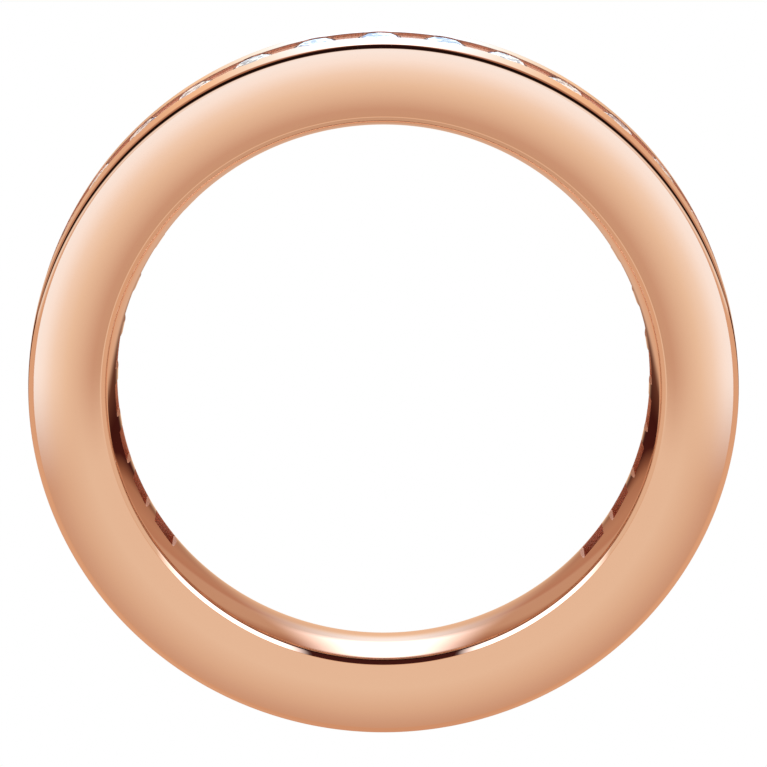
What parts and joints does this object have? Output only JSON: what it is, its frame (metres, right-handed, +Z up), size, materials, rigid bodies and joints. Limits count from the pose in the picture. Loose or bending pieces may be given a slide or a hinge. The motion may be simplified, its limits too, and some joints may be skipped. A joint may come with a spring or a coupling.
{
  "type": "wedding band",
  "caption": "Polished rose-gold wedding band with round brilliants set flush in a channel round most of the rim, a plain base and windows inside the finger hole.",
  "frame": {"origin": "on the axis of the finger hole, half way along it", "axes": "+Y along the finger hole; +Z up through the middle stone; +X to the right when looking along +Y"},
  "size_m": [0.0224, 0.0032, 0.0224],
  "materials": {
    "rose_gold": "mirror-polished 14 karat rose gold",
    "brilliant": "polished facets, colourless"
  },
  "bodies": {
    "root": {"band": "rose_gold", "stone_01": "brilliant", "stone_02": "brilliant", "stone_03": "brilliant", "stone_04": "brilliant", "stone_05": "brilliant", "stone_06": "brilliant", "stone_07": "brilliant", "stone_08": "brilliant", "stone_09": "brilliant", "stone_10": "brilliant", "stone_11": "brilliant", "stone_12": "brilliant", "stone_13": "brilliant", "stone_14": "brilliant", "stone_15": "brilliant", "stone_16": "brilliant", "stone_17": "brilliant", "stone_18": "brilliant", "stone_19": "brilliant", "stone_20": "brilliant", "stone_21": "brilliant", "stone_22": "brilliant", "stone_23": "brilliant", "stone_24": "brilliant", "stone_25": "brilliant"}
  },
  "joints": []
}
